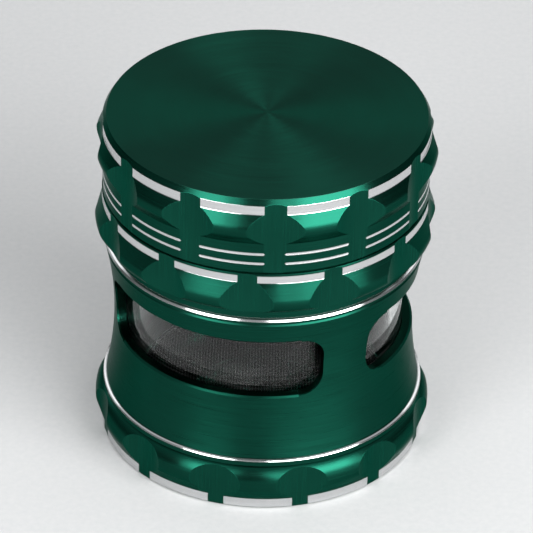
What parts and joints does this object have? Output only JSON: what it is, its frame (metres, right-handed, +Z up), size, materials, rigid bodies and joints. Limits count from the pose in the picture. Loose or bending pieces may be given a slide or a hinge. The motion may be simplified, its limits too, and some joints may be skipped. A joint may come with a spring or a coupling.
{
  "type": "hand grinder",
  "caption": "Round screw-together hand grinder with scalloped grip rings, a magnetic lid with teeth, a glass-walled window section over a fine screen, and a catch cup.",
  "frame": {"origin": "centre of the base's underside, on the axis", "axes": "+Z up along the axis of all four sections; the front, where the wide window faces, is -Y"},
  "size_m": [0.063, 0.063, 0.0675],
  "materials": {
    "green_anodised": "satin green anodise over turned aluminium, with bare turned bands and chamfers",
    "seal": "matt black rubber",
    "glass": "clear polished borosilicate tube",
    "steel": "fine brushed stainless steel",
    "screen": "fine woven stainless mesh",
    "magnet": "bright nickel plate",
    "slide_plastic": "smooth off-white slide plastic"
  },
  "bodies": {
    "base": {"base_cup": "green_anodised"},
    "lower_seal": {"base_seal": "seal"},
    "window_section": {"window_body": "green_anodised", "glass_lower_gasket": "seal", "glass_tube": "glass", "glass_upper_gasket": "seal", "glass_retainer_ring": "steel", "screen_upper_ring": "steel", "screen_mesh": "screen", "screen_lower_ring": "steel", "screen_snap_ring": "steel"},
    "upper_seal": {"chamber_seal": "seal"},
    "chamber": {"grinding_chamber": "green_anodised", "chamber_magnet": "magnet"},
    "lid_slide": {"slide_ring": "slide_plastic"},
    "lid_section": {"lid": "green_anodised", "lid_magnet": "magnet"}
  },
  "joints": [
    {"name": "body_lift", "type": "slide", "parent": "base", "child": "lower_seal", "axis": [0, 0, 1], "range_m": [0, 0.004]},
    {"name": "body_unscrew", "type": "hinge", "parent": "lower_seal", "child": "window_section", "pos_m": [0, 0, 0.0108], "axis": [0, 0, 1], "range_deg": [0, 1440]},
    {"name": "chamber_lift", "type": "slide", "parent": "window_section", "child": "upper_seal", "axis": [0, 0, 1], "range_m": [0, 0.004]},
    {"name": "chamber_unscrew", "type": "hinge", "parent": "upper_seal", "child": "chamber", "pos_m": [0, 0, 0.04085], "axis": [0, 0, 1], "range_deg": [0, 1440]},
    {"name": "lid_lift", "type": "slide", "parent": "chamber", "child": "lid_slide", "axis": [0, 0, 1], "range_m": [0, 0.02]},
    {"name": "lid_spin", "type": "hinge", "parent": "lid_slide", "child": "lid_section", "pos_m": [0, 0, 0.05225], "axis": [0, 0, 1], "continuous": true}
  ],
  "couplings": [
    {"joint": "body_unscrew", "follows": "body_lift", "rad_per_m": 6283.2},
    {"joint": "chamber_unscrew", "follows": "chamber_lift", "rad_per_m": 6283.2}
  ]
}
